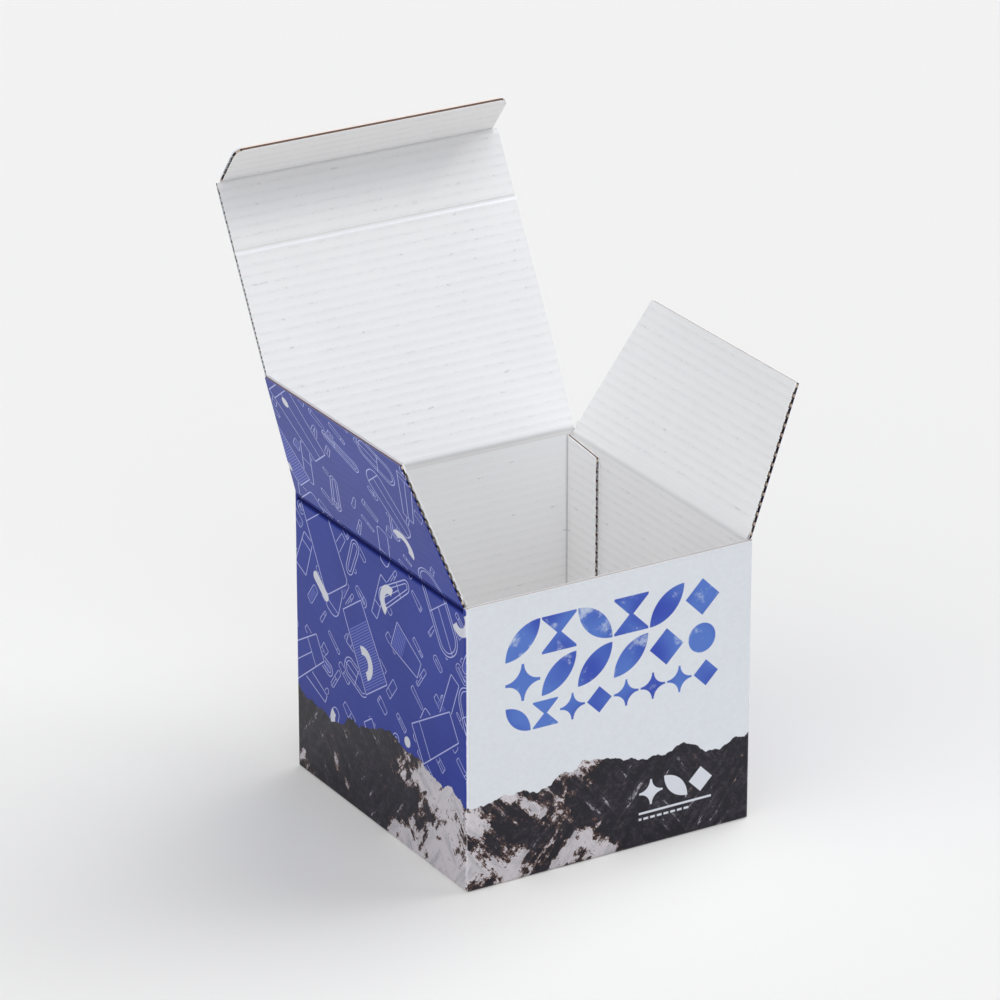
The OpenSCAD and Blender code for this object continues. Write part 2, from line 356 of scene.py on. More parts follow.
@dataclass(frozen=True)
class BlueprintPrint:
    """Royal blue ink with thin white frames, pale bars, arcs and dots, all plain geometry."""

    blue: Colour = ink(42, 60, 152)
    deep: Colour = ink(36, 52, 142)
    line: Colour = ink(194, 200, 238)
    faint: Colour = ink(96, 108, 192)
    solid: Colour = ink(214, 216, 222)
    solid_cell: float = 33.0
    solid_tilt: float = -31.0
    solid_shift: tuple[float, float] = (0.37, 0.21)
    bar_half: tuple[float, float] = (4.2, 1.7)
    ring_half: tuple[float, float] = (4.4, 1.5)
    dot: float = 1.9
    layers: tuple[OutlineLayer, ...] = (
        OutlineLayer(38.0, 33.0, 3.0, (11.0, 18.2), (2.8, 8.4), 0.18, 0.04),
        OutlineLayer(22.0, -23.0, 21.0, (6.0, 10.6), (1.3, 4.4), 0.16, 0.08),
        OutlineLayer(10.5, 52.0, 45.0, (2.0, 4.8), (0.6, 1.8), 0.12, 0.2),
    )

    def solids(self, shade: Shade, spot: Spot) -> Value:
        """Pale bars, half rings and dots, one in some cells of a wide grid."""
        cell = self.solid_cell
        right, over = shade.turned(spot.along / cell, spot.up / cell, radians(self.solid_tilt))
        right, over = right + self.solid_shift[0], over + self.solid_shift[1]
        first, second, third = shade.chance(right.floor(), over.floor(), 88.0)
        x, y = (right.fract() - 0.5) * cell, (over.fract() - 0.5) * cell
        x, y = shade.turned(x, y, first * (2 * pi))
        middle = shade.length(x, y)
        bar = shade.length(x, (abs(y) - self.bar_half[0]) | 0.0) - self.bar_half[1]
        ring = (abs(middle - self.ring_half[0]) - self.ring_half[1]) | (0.0 - y)
        dot = middle - self.dot
        shape = shade.pick(second > 0.34, bar, shade.pick(second > 0.8, ring, dot))
        return shade.smooth(shape, 0.1, -0.1) * (third > 0.38)

    def colour(self, shade: Shade, spot: Spot) -> Value:
        """The print's colour at a place."""
        cloud = shade.noise((spot.along, spot.up, 5.0), 0.035, 3.0, 0.6)
        base = shade.blend(shade.smooth(cloud, 0.3, 0.7), self.deep, self.blue)
        top, *others = self.layers
        lines, hatching, covered = top.draw(shade, spot)
        for layer in others:
            drawn, hatch, cover = layer.draw(shade, spot)
            free = covered.flipped()
            lines = lines | drawn * free
            hatching = hatching | hatch * free
            covered = covered | cover
        base = shade.blend(hatching, base, self.faint)
        base = shade.blend(lines * 0.9, base, self.line)
        return shade.blend(self.solids(shade, spot), base, self.solid)


@dataclass(frozen=True)
class BlockRow:
    """A row of bold plain blocks: leaves, stars, diamonds, hourglasses and discs."""

    low: float
    size: float
    left: float
    count: int
    gap: float
    seed: float

    def draw(self, shade: Shade, spot: Spot) -> Value:
        """A mask of the row."""
        pitch, half = self.size + self.gap, self.size / 2
        cells = (spot.along - self.left) / pitch
        column = cells.floor()
        first, second, _ = shade.chance(column, 0.0, self.seed)
        x = (cells.fract() - 0.5) * pitch
        y = spot.up - (self.low + half)
        x = x * ((second > 0.5) * 2.0 - 1.0)
        square = (abs(x) | abs(y)) - half
        leaf = (shade.length(x + half, y - half) | shade.length(x - half, y + half)) - self.size
        star = half * 0.92 - shade.length(abs(x) - half, abs(y) - half)
        diamond = (abs(x) + abs(y) - half) * 0.7
        glass = (abs(x) - abs(y) - half * 0.12) * 0.7
        disc = shade.length(x, y) - half * 0.8
        low_pair = shade.pick(first > 0.3, leaf, star)
        high_pair = shade.pick(first > 0.72, glass, shade.pick(first > 0.88, diamond, disc))
        shape = square | shade.pick(first > 0.52, low_pair, high_pair)
        inside = (column > -0.5) * (column < self.count - 0.5)
        return shade.smooth(shape, 0.12, -0.12) * inside


@dataclass(frozen=True)
class FrontPrint:
    """Pale ground with rows of blue blocks that have sky-like patches in them."""

    ground: Colour = ink(226, 230, 234)
    ground_low: Colour = ink(231, 235, 239)
    blue: Colour = ink(56, 78, 180)
    light: Colour = ink(88, 124, 204)
    cloud: Colour = ink(206, 218, 234)
    rows: tuple[BlockRow, ...] = (
        BlockRow(78.0, 13.0, -40.0, 6, 0.6, 4.0),
        BlockRow(63.4, 13.0, -40.0, 6, 0.6, 9.0),
        BlockRow(52.4, 9.4, -40.0, 8, 0.8, 23.0),
    )

    def ground_colour(self, shade: Shade, spot: Spot) -> Value:
        """The pale ground, a little uneven."""
        mottle = shade.noise((spot.along, spot.up, 9.0), 0.6, 4.0, 0.7)
        return shade.blend(shade.smooth(mottle, 0.25, 0.75), self.ground, self.ground_low)

    def colour(self, shade: Shade, spot: Spot, ground: Value) -> Value:
        """The ground with the blocks on it."""
        top, *others = self.rows
        blocks = top.draw(shade, spot)
        for row in others:
            blocks = blocks | row.draw(shade, spot)
        place = shade.vector(spot.along, spot.up, 2.0)
        cast = shade.smooth(shade.noise(place, 0.045, 1.0), 0.35, 0.65)
        sky = shade.blend(cast, self.blue, self.light)
        puff = shade.smooth(shade.noise(place, 0.075, 6.0, 0.68), 0.55, 0.68)
        return shade.blend(blocks, ground, shade.blend(puff * 0.85, sky, self.cloud))


@dataclass(frozen=True)
class RockBand:
    """A dark stone-like band along the foot of the carton, with pale ragged patches."""

    dark: Colour = ink(30, 28, 36)
    grey: Colour = ink(56, 53, 61)
    brown: Colour = ink(108, 76, 60)
    pale: Colour = ink(214, 208, 211)
    pale_shade: Colour = ink(150, 150, 158)
    middle: float = 33.0
    swing: float = 26.0
    hill: float = 17.0
    tooth: float = 2.6
    corner_at: float = 226.0

    def height(self, shade: Shade, round_way: Value) -> Value:
        """The band's upper edge over the way round the carton from its glued corner."""
        broad = shade.noise((round_way, 3.0), 0.021, 0.0) - 0.5
        hills = shade.noise((round_way, 14.0), 0.06, 3.0, 0.5) - 0.5
        teeth = shade.noise((round_way, 27.0), 0.4, 4.0, 0.6) - 0.5
        return self.middle + broad * self.swing + hills * self.hill + teeth * self.tooth

    def colour(self, shade: Shade, round_way: Value, up: Value, below: Value) -> Value:
        """The band's colour, by the way round, the height and the depth below the upper edge."""
        place = shade.vector(round_way, up, 1.0)
        # Streaks run down slopes that fall to the left or to the right
        streaks = []
        for way in (-1.0, 1.0):
            across, down = round_way + way * up * 0.8, up - way * round_way * 0.3
            fall = shade.vector(across * 0.2, down * 0.045, 6.0 * way)
            streaks.append(shade.noise(fall, 1.0, 6.0, 0.7))
        slope = shade.noise((round_way, up * 0.5, 40.0), 0.045, 1.0)
        streak = shade.pick(shade.smooth(slope, 0.47, 0.53), *streaks)
        broad = shade.noise((round_way, up * 0.9, 11.0), 0.05, 3.0, 0.6)
        crumb = shade.noise(place, 0.5, 6.0, 0.8)
        stone = shade.blend(shade.smooth(streak + crumb, 0.9, 1.18), self.dark, self.grey)
        stone = shade.blend(shade.smooth(crumb, 0.58, 0.7) * 0.5, stone, self.brown)
        # The patches gather at the foot and round the front left corner
        corner = shade.smooth(abs(round_way - self.corner_at), 64.0, 4.0)
        foot = shade.smooth(up, 22.0, 3.0)
        patch = broad * 0.55 + streak * 0.3 + crumb * 0.24 + corner * 0.095 + foot * 0.03
        core = shade.smooth(patch, 0.63, 0.637) * shade.smooth(crumb, 0.64, 0.615)
        rim = shade.smooth(patch, 0.604, 0.63)
        # Specks and gullies keep off the band's upper edge
        well_below = below > 2.0
        speck = shade.smooth(shade.noise(place, 0.7, 4.0, 0.7), 0.75, 0.76) * well_below
        gully = shade.smooth(streak, 0.605, 0.625) * shade.smooth(crumb, 0.46, 0.52) * well_below
        frost = shade.blend(shade.smooth(streak, 0.46, 0.66) * 0.6, self.pale, self.pale_shade)
        stone = shade.blend(rim * 0.75, stone, self.brown)
        return shade.blend(core | speck | gully * 0.85, stone, frost)


@dataclass(frozen=True)
class FootMarks:
    """Pale marks low on the front: a short row of blocks over a thin bar and dashes."""

    pale: Colour = ink(222, 225, 232)
    row: BlockRow = BlockRow(14.6, 9.0, 11.0, 3, 0.6, 31.0)
    bar_middle: tuple[float, float] = (25.2, 12.0)
    dash_middle: tuple[float, float] = (21.0, 9.9)
    bar_half: float = 14.0
    dash_half: float = 9.8
    thin: float = 0.4
    dash_pitch: float = 2.6
    dash_share: float = 0.7

    def mask(self, shade: Shade, spot: Spot) -> Value:
        """A mask of the marks."""

        def strip(middle: tuple[float, float], half: float) -> Value:
            """How far a place lies outside a thin bar."""
            return (abs(spot.along - middle[0]) - half) | (abs(spot.up - middle[1]) - self.thin)

        dashed = (spot.along / self.dash_pitch).fract() - self.dash_share
        dashes = strip(self.dash_middle, self.dash_half) | dashed
        lines = strip(self.bar_middle, self.bar_half) & dashes
        return self.row.draw(shade, spot) | shade.smooth(lines, 0.1, -0.1)


# Boards


@dataclass(frozen=True)
class BoardPlace:
    """How a board stands: its hinge point in mm, the turn about Z and the tilt inwards in degrees."""

    point: tuple[float, float, float]
    turn: float = 0.0
    tilt: float = 0.0

    @property
    def matrix(self) -> Matrix:
        """From the board's own place, with X along its hinge, Y outwards and Z up, in mm."""
        turned = Matrix.Rotation(radians(self.turn), 4, "Z")
        tilted = Matrix.Rotation(radians(self.tilt), 4, "X")
        return Matrix.Translation(self.point) @ turned @ tilted

    @property
    def print_way(self) -> float:
        """1 where the side's print runs along the board's X, and -1 where it runs against it."""
        return -1.0 if self.turn < 0 else 1.0

    def local(self, shade: Shade) -> tuple[tuple[Value, Value, Value], tuple[Value, Value, Value]]:
        """The board's own coordinates in mm, and its own normal."""
        read = shade.node("ShaderNodeTexCoord")
        turned = {"Rotation": (radians(self.tilt), 0.0, radians(self.turn))}
        place = {"Location": [c * MM for c in self.point], "Scale": (MM, MM, MM), **turned}
        point = shade.mapped(shade.value(read, "Object"), place)
        normal = shade.mapped(shade.value(read, "Normal"), turned)
        return shade.split(point), shade.split(normal)


class Face(Enum):
    """Which print a flap carries outside."""

    BLUEPRINT = "blueprint"
    PALE = "pale"


LEFT_HINGE = BoardPlace((-MID_X, 0.0, SIDE_HINGE_Z), 90.0)
RIGHT_HINGE = BoardPlace((MID_X, 0.0, SIDE_HINGE_Z), -90.0)
LID_HINGE = BoardPlace((0.0, MID_Y, LID_HINGE_Z))
LID_PLACE = BoardPlace(LID_HINGE.point, 0.0, -LID_LEAN)
TUCK_POINT = tuple(LID_PLACE.matrix @ Vector((0.0, 0.0, LID_LENGTH)))
TUCK_HINGE = BoardPlace(TUCK_POINT, 0.0, -LID_LEAN)

# Painted shade: the grey of the tuck's shadow, on the lid near the tuck and on the tuck's inside
TUCK_SHADE = ink(146, 148, 162)

# Painted shade in the dust flaps' folds, and the roughness there
FOLD_SHADE = ink(4, 10, 76)
FOLD_ROUGH = 0.7


def bumped(shade: Shade, height: Value) -> Value:
    """The normal of a rough surface, from a height between 0 and 1."""
    inputs = {"Height": height, "Distance": GRAIN_DEPTH * MM, "Strength": 1.0}
    return shade.value(shade.node("ShaderNodeBump", inputs=inputs))


def paper_height(shade: Shade, spot: Spot, near: Value, dashes: Value) -> Value:
    """The washboard of the flutes with the paper's fine grain."""
    ridge = shade.math("COSINE", near * (2 * pi)) * 0.5
    grain = shade.noise((spot.along, spot.up, 3.0), 2.2, 3.0, 0.65)
    return ridge + grain * 0.35 - dashes * 0.8


def dress(node: str, material: bpy.types.Material) -> None:
    """Puts a material on a CAD node."""
    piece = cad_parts[node]
    piece.data.materials.clear()
    piece.data.materials.append(material)
    LOG.info("dressed %s", node)


@dataclass
class FlapDress:
    """The paper, print and cut edges of one flap.

    Past the crease, at open_from, the cut edges begin. The first flute's crest lies at
    first_crest, and the end from crushed_from on is pressed shut by the knife. A cut edge has a
    brown core, core_at outside the board's middle and core to each side, or crushed_core at the
    crushed end, where rim is the colour inside the core and lip the one outside it. The inside
    takes painted shade, the tuck's shadow, by painted_shade_by between painted_shade_from and
    painted_shade_to.
    """

    node: str
    place: BoardPlace
    face: Face
    open_from: float
    first_crest: float
    crushed_from: float
    core_at: float = 0.0
    core: float = 0.34
    crushed_core: float = 0.3
    rim: Colour = ink(236, 235, 233)
    lip: Colour = ink(214, 211, 208)
    painted_shade_by: float = 0.0
    painted_shade_from: float = 0.0
    painted_shade_to: float = 1.0

    def colour_shift(self, shade: Shade, spot: Spot) -> Value:
        """How much painted shade the inside takes, from 0 to 1."""
        return shade.smooth(spot.up, self.painted_shade_from, self.painted_shade_to)

    def cut(self, out: Value, up: Value, end_face: Value) -> Value:
        """A mask of the cut edges, which lie between the two faces, past the crease."""
        return (abs(out) < BOARD / 2 - 0.02) * ((up > self.open_from) | end_face)

    def scored(self, shade: Shade, colour: Value, up: Value, seen: Value) -> Value:
        """The colour with the painted highlight and shade of a cross score, which only the lid has."""
        return colour

    def material(self) -> bpy.types.Material:
        """Builds the flap's material from its own coordinates."""
        shade = Shade(bpy.data.materials.new(f"{self.node}_paper"))
        (along, out, up), (across, _, over) = self.place.local(shade)
        spot = Spot(along, up)
        liner = WhiteLiner()
        near, dashes = liner.lines(shade, spot, self.first_crest)
        inside = liner.colour(shade, spot, near, dashes)
        # Painted shade on the inside: the tuck's shadow
        if self.painted_shade_by > 0:
            inside = shade.blend(self.colour_shift(shade, spot) * self.painted_shade_by, inside, TUCK_SHADE)
        sheet = Spot(along * self.place.print_way, up + SIDE_HINGE_Z)
        if self.face is Face.BLUEPRINT:
            outside = BlueprintPrint().colour(shade, sheet)
        else:
            outside = FrontPrint().ground_colour(shade, sheet)
        printed = out > 0.02
        colour = shade.blend(printed, inside, outside)
        cut = self.cut(out, up, abs(across) > FACING)
        crushed = (abs(over) > END_FACING) * (up > self.crushed_from)
        read = shade.node("ShaderNodeTexCoord")
        kraft = KraftMedium().colour(shade, shade.value(read, "Object"), near, crushed)
        core = shade.pick(crushed, self.core, self.crushed_core)
        rim = shade.blend(crushed, colour, shade.blend(printed, self.rim, self.lip))
        edge = shade.blend(abs(out - self.core_at) < core, rim, kraft)
        colour = shade.blend(cut, colour, edge)
        seen = cut.flipped() * shade.pick(printed, 1.0, 0.25)
        colour = self.scored(shade, colour, up, seen)
        height = paper_height(shade, spot, near, dashes) * shade.pick(printed, 1.0, 0.6)
        rough = shade.pick(printed * cut.flipped(), PAPER_ROUGH, INK_ROUGH)
        return shade.surface(colour, rough, bumped(shade, height), GLOSS)


@dataclass
class LidDress(FlapDress):
    """The lid's dress, with the painted highlight and shade of its cross score, and the painted shadow of
    the tuck, lighter where light comes past the tuck's right end.
    """

    glint: Colour = ink(246, 246, 247)
    glint_below: float = 0.45
    groove_above: float = 0.75
    score_half: float = 1.3
    fold_run: float = 2.4
    lit_slant: float = 1.3
    lit_range: tuple[float, float] = (40.0, 52.0)
    lit_by: float = 0.7

    def colour_shift(self, shade: Shade, spot: Spot) -> Value:
        """How much painted shadow of the tuck the inside takes, less where light reaches it past the tuck.
        """
        lit = shade.smooth(spot.along + (LID_LENGTH - spot.up) * self.lit_slant, *self.lit_range)
        return super().colour_shift(shade, spot) * (1.0 - lit * self.lit_by)

    def cut(self, out: Value, up: Value, end_face: Value) -> Value:
        """The cut edges without the faces that are pressed at the score and the tuck's fold."""
        pressed = (abs(up - SCORE_AT) < self.score_half) | (up > LID_LENGTH - self.fold_run)
        return super().cut(out, up, end_face) * (pressed * end_face.flipped()).flipped()

    def scored(self, shade: Shade, colour: Value, up: Value, seen: Value) -> Value:
        """The colour with a painted highlight just below the score and a faint painted shade line above
        it.
        """
        # Painted highlight along the score, and painted shade in its groove
        glint = shade.smooth(abs(up - SCORE_AT + self.glint_below), 0.75, 0.25) * seen
        groove = shade.smooth(abs(up - SCORE_AT - self.groove_above), 0.5, 0.15) * seen
        return shade.blend(groove * 0.08, shade.blend(glint, colour, self.glint), WhiteLiner().dash)


@dataclass
class SleeveDress:
    """The paper, print and cut edges of the carton's body.

    The print ends print_under past the bottom fold. The back's inside paper takes painted light, stronger
    up its height.
    """

    first_crest: float = 1.3
    print_under: float = 3.0
    flaps_below: float = 6.3
    floor_below: float = 8.0
    painted_light_range: tuple[float, float] = (30.0, 96.0)
    tab_reach: float = 18.0
    tab_low: float = 4.8
    corner_shade: Colour = ink(170, 170, 170)
    upper: Colour = ink(253, 253, 252)
    rim: Colour = ink(206, 203, 201)

    def print_colour(self, shade: Shade, x: Value, y: Value, z: Value) -> Value:
        """The print of all four sides, by the place on the carton."""
        on_side = (abs(x) - HALF_W) > (abs(y) - HALF_D)
        left, front = x < 0.0, y < 0.0
        side_way = shade.pick(left, HALF_D - y, (HALF_D * 3 + HALF_W * 2) + y)
        end_way = shade.pick(front, x + (HALF_D * 4 + HALF_W * 3), (HALF_D * 2 + HALF_W) - x)
        round_way = shade.pick(on_side, end_way, side_way)
        blueprint = BlueprintPrint().colour(shade, Spot(y, z))
        face = FrontPrint()
        spot = Spot(x, z)
        ground = face.ground_colour(shade, Spot(x + y, z))
        pale = shade.blend(front, ground, face.colour(shade, spot, ground))
        colour = shade.blend(on_side, pale, blueprint)
        band = RockBand()
        below = band.height(shade, round_way) - z
        rock = band.colour(shade, round_way, z, below)
        marks = FootMarks()
        rock = shade.blend(marks.mask(shade, spot) * front * on_side.flipped(), rock, marks.pale)
        return shade.blend(shade.smooth(below, -0.12, 0.12), colour, rock)

    def tab(
        self, shade: Shade, place: tuple[Value, Value, Value], facing: tuple[Value, Value, Value]
    ) -> tuple[Value, Value, Value]:
        """Masks of the glue tab: the core in its cut edges, the whole edges and the sloped top."""
        x, y, z = place
        off = abs(x - (MID_X - BOARD))
        inner = HALF_D - BOARD
        tab = (y > inner - self.tab_reach - 0.1) * (y < inner) * (z > self.tab_low)
        tab = tab * (off < BOARD / 2 + 0.02)
        top = tab * (facing[2] > 0.3)
        end = abs(facing[1]) > FACING
        core = tab * (off < shade.pick(top, KraftMedium().core, 0.3)) * (top | end)
        rim = tab * (off < BOARD / 2 - 0.05) * (end | (abs(facing[2]) > 0.3))
        return core, rim, top

    def material(self) -> bpy.types.Material:
        """Builds the body's material from its own coordinates."""
        shade = Shade(bpy.data.materials.new("sleeve_paper"))
        read = shade.node("ShaderNodeTexCoord")
        x, y, z = shade.split(shade.mapped(shade.value(read, "Object"), {"Scale": (MM, MM, MM)}))
        facing = shade.split(shade.value(read, "Normal"))
        level = abs(facing[2]) > FACING
        floor = level * (z < self.floor_below)
        spot = Spot(x + y, shade.pick(floor, z, y))
        liner = WhiteLiner()
        near, dashes = liner.lines(shade, spot, self.first_crest)
        inside = liner.colour(shade, spot, near, dashes)
        # Painted light on the back's inside, stronger towards the top
        painted_light = shade.smooth(z, *self.painted_light_range) * (y > HALF_D - BOARD - 0.1)
        inside = shade.blend(painted_light * dashes.flipped(), inside, self.upper)
        off_x, off_y = abs(x) - MID_X, abs(y) - MID_Y
        outer = (off_x | off_y) > 0.0
        # The print runs round the bottom fold and ends under the carton
        low = z < 0.3
        under = self.print_under
        past_print = low * (abs(x) < HALF_W - under) * (abs(y) < HALF_D - under)
        printed = (outer | low) * past_print.flipped()
        colour = shade.blend(printed, inside, self.print_colour(shade, x, y, z))
        medium = KraftMedium()
        top_rim = (z > SIDE_HINGE_Z - 1.5) * (facing[2] > FACING)
        top_core = top_rim * ((abs(off_x) & abs(off_y)) < 0.25)
        tab_core, tab_rim, tab_top = self.tab(shade, (x, y, z), facing)
        layer = abs((z / BOARD).fract() - 0.5) * BOARD
        flap_edge = (layer < medium.core) * (z < self.flaps_below) * (z > 0.1)
        flap_edge = flap_edge * (abs(facing[2]) < 0.5) * outer.flipped()
        wave = (z / FLUTE).fract() - 0.5
        kraft = medium.colour(shade, shade.value(read, "Object"), wave, flap_edge | tab_top)
        # Painted shade: a soft grey line in the back right inside corner, along the tab's fold
        near_fold = abs(x - (HALF_W - 2 * BOARD)) | abs(y - (HALF_D - BOARD))
        colour = shade.blend(shade.smooth(near_fold, 0.8, 0.1) * 0.5, colour, self.corner_shade)
        colour = shade.blend(top_rim, colour, self.rim)
        colour = shade.blend(top_core * 0.6, colour, medium.crushed)
        colour = shade.blend(tab_rim, colour, liner.paper)
        colour = shade.blend(tab_core | flap_edge, colour, kraft)
        # The folded uprights turn towards white paper in patches
        fold = shade.smooth((abs(x) - HALF_W) & (abs(y) - HALF_D), -0.62, -0.3) * outer
        colour_shift = shade.smooth(shade.noise((x, y, z * 0.4), 1.3, 4.0, 0.7), 0.5, 0.66)
        colour = shade.blend(fold * (colour_shift * 0.55 + 0.25), colour, liner.paper)
        height = paper_height(shade, spot, near, dashes) * shade.pick(printed, 1.0, 0.5)
        rough = shade.pick(printed, PAPER_ROUGH, INK_ROUGH)
        return shade.surface(colour, rough, bumped(shade, height), GLOSS)


# Creases


class Side(Enum):
    """Which face of the board a skin lies on."""

    INSIDE = -1
    OUTSIDE = 1


@dataclass(frozen=True)
class Fold:
    """A crease that turns: where it is, how far it is bent, and the bodies that it joins."""

    name: str
    hinge: BoardPlace
    bend: float
    half_length: float
    moved_body: str
    slot: str
    base_body: str = "carton_body"
    face: Face = Face.PALE
    pressed: bool = False


@dataclass
class CreaseSkin:
    """The liner that runs over a crease, from one board to the next.

    It is fully turned at turn_run from the crease and lies lift over the board, and its ends dip
    into the board over dip_run. A stretched crease lies shallow from the board's middle. Rub and
    corner_rub, with the ranges after them, are the room left for the lid's side and corner.
    """

    fold: Fold
    side: Side
    reach: float = 2.1
    turn_run: float = 0.9
    lift: float = 0.03
    dip: float = 0.05
    dip_run: float = 0.9
    shallow: float = 0.75
    steps: int = 36
    cuts: int = 35
    sheet: float = 0.1
    gloss: float = 0.08
    rub: float = 0.13
    rub_rear: tuple[float, float] = (20.0, 36.0)
    rub_start: tuple[float, float] = (0.6, 1.5)
    rub_end: tuple[float, float] = (4.3, 3.2)
    corner_rub: float = 0.4
    corner_rear: tuple[float, float] = (50.9, 53.9)
    corner_up: float = 1.6
    corner_half: float = 1.3

    @property
    def name(self) -> str:
        """The piece's name."""
        return f"{self.fold.name}_crease_{self.side.name.lower()}"

    @property
    def crushed(self) -> bool:
        """Whether the liner lies on a flap that is pressed flat beside its hinge."""
        return self.fold.pressed and self.side is Side.INSIDE

    def depth(self, up: float) -> float:
        """How far the liner lies from the board's middle at a distance from the crease."""
        share = ramp(abs(up), 0.0, CREASE_RUN)
        stretched = self.side is Side.INSIDE and self.fold.bend < 0
        low = self.shallow if stretched else CREASE / 2
        half = low + (BOARD / 2 - low) * (1 - cos(pi * share)) / 2
        # Both ends dip into the board, so that no step shows
        end = ramp(min(up + self.reach, self.top - up), 0.0, self.dip_run)
        return half + self.lift - self.dip * (1 + cos(pi * end)) / 2

    @property
    def top(self) -> float:
        """Where the liner ends on the flap."""
        return CRUSH_END + 0.5 if self.crushed else self.reach

    def share(self, up: float) -> float:
        """How far the liner has turned with the flap at a distance from the crease."""
        return ease(up, -self.turn_run, self.turn_run)

    def room(self, rear: float, up: float) -> float:
        """How much lower the liner lies on a pressed flap where the lid's side passes it.

        Rear is how far a point lies behind the hinge's middle, and up how far from the crease.
        """
        if not self.crushed:
            return 0.0
        rubbed = self.rub * ease(rear, *self.rub_rear)
        rubbed = rubbed * ease(up, *self.rub_start) * ease(up, *self.rub_end)
        corner = self.corner_rub * ramp(rear, *self.corner_rear)
        return rubbed + corner * ease(abs(up - self.corner_up), self.corner_half, 0.0)

    def turned(self, point: Vector, up: float) -> Vector:
        """A vector of the straight liner, turned with its share of the bend."""
        return Matrix.Rotation(radians(self.fold.bend) * self.share(up), 3, "X") @ point

    def bent_sheet(self) -> tuple[bmesh.types.BMesh, bmesh.types.BMLayerItem]:
        """The bent sheet in mm about its hinge, and its layer of distances from the crease."""
        mesh = bmesh.new()
        height = mesh.verts.layers.float.new("height")
        half = self.fold.half_length
        row = []
        for i in range(self.steps + 1):
            up = -self.reach + (self.top + self.reach) * i / self.steps
            point = Vector((-half, self.side.value * self.depth(up), up))
            vert = mesh.verts.new(self.turned(point, up))
            vert[height] = up
            row.append(vert)
        edges = [mesh.edges.new(pair) for pair in zip(row, row[1:])]
        grown = bmesh.ops.extrude_edge_only(mesh, edges=edges)["geom"]
        far = [v for v in grown if isinstance(v, bmesh.types.BMVert)]
        bmesh.ops.translate(mesh, verts=far, vec=(2 * half, 0.0, 0.0))
        long_edges = [e for e in mesh.edges if abs(e.verts[0].co.x - e.verts[1].co.x) > half]
        bmesh.ops.subdivide_edges(mesh, edges=long_edges, cuts=self.cuts, use_grid_fill=True)
        return mesh, height

    def build(self) -> bpy.types.Object:
        """Makes the skin in its place."""
        mesh, height = self.bent_sheet()
        flip = self.fold.hinge.print_way
        for vert in mesh.verts:
            lower = Vector((0.0, -self.side.value * self.room(vert.co.x * flip, vert[height]), 0.0))
            vert.co += self.turned(lower, vert[height])
        bmesh.ops.recalc_face_normals(mesh, faces=mesh.faces)
        mesh.normal_update()
        below = [f for f in mesh.faces if f.calc_center_median().z < -0.5]
        if sum(f.normal.y * self.side.value for f in below) < 0:
            bmesh.ops.reverse_faces(mesh, faces=mesh.faces)
        bmesh.ops.solidify(mesh, geom=list(mesh.faces), thickness=self.sheet)
        places = [(v.co.x, v[height]) for v in mesh.verts]
        hinge = Matrix.Scale(MM, 4) @ self.fold.hinge.matrix
        bmesh.ops.transform(mesh, matrix=hinge, verts=mesh.verts)
        data = bpy.data.meshes.new(self.name)
        mesh.to_mesh(data)
        mesh.free()
        # The print reads its place from here, since the bent mesh has lost it
        sheet = data.attributes.new("sheet", "FLOAT_VECTOR", "POINT")
        for i, (along, up) in enumerate(places):
            sheet.data[i].vector = (along * flip, up + SIDE_HINGE_Z, up)
        data.shade_smooth()
        data.set_sharp_from_angle(angle=radians(40.0))
        piece = bpy.data.objects.new(self.name, data)
        bpy.context.scene.collection.objects.link(piece)
        return piece

    def material(self) -> bpy.types.Material:
        """Paper or print that reads its place from the mesh, with painted shade along the crease."""
        shade = Shade(bpy.data.materials.new(f"{self.name}_paper"))
        read = shade.node("ShaderNodeAttribute", {"attribute_name": "sheet"})
        along, sheet_up, up = shade.split(shade.value(read, "Vector"))
        spot = Spot(along, sheet_up)
        grain = shade.noise((along, up), 1.6, 4.0, 0.7)
        if self.side is Side.INSIDE:
            liner = WhiteLiner()
            colour = shade.blend(shade.smooth(grain, 0.3, 0.8) * 0.3, liner.paper, liner.shade_line)
            if self.fold.bend > 0:
                # Painted shade of the tuck over the inside of its fold
                colour = shade.blend(0.13, colour, TUCK_SHADE)
                valley_shade = shade.smooth(abs(up), 2.6, 0.1) * 0.3
            else:
                valley_shade = shade.smooth(abs(up), 1.2, 0.1) * 0.4
            # Painted shade along the crease on the inside
            colour = shade.blend(valley_shade, colour, liner.dash)
            rough = PAPER_ROUGH
        elif self.fold.face is Face.BLUEPRINT:
            colour = BlueprintPrint().colour(shade, spot)
            # Painted shade along the fold on the outside
            valley_shade = shade.smooth(abs(up), 2.0, 0.8)
            colour = shade.blend(valley_shade * 0.97, colour, FOLD_SHADE)
            rough = FOLD_ROUGH
        else:
            colour = FrontPrint().ground_colour(shade, spot)
            rough = INK_ROUGH
        return shade.surface(colour, rough, bumped(shade, grain), self.gloss)

    def make(self) -> None:
        """Builds and dresses the skin."""
        piece = self.build()
        piece.data.materials.append(self.material())
        hinge = self.fold.hinge.matrix
        start = (hinge @ Vector((0.0, 0.0, -self.turn_run))) * MM
        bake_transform(piece)
        LOG.info("made %s", self.name)


# The carton

# What both dust flaps share
DUST_FLAP = (Face.BLUEPRINT, CRUSH_END + 0.02, CRUSH_END, DUST_LENGTH - 0.1)

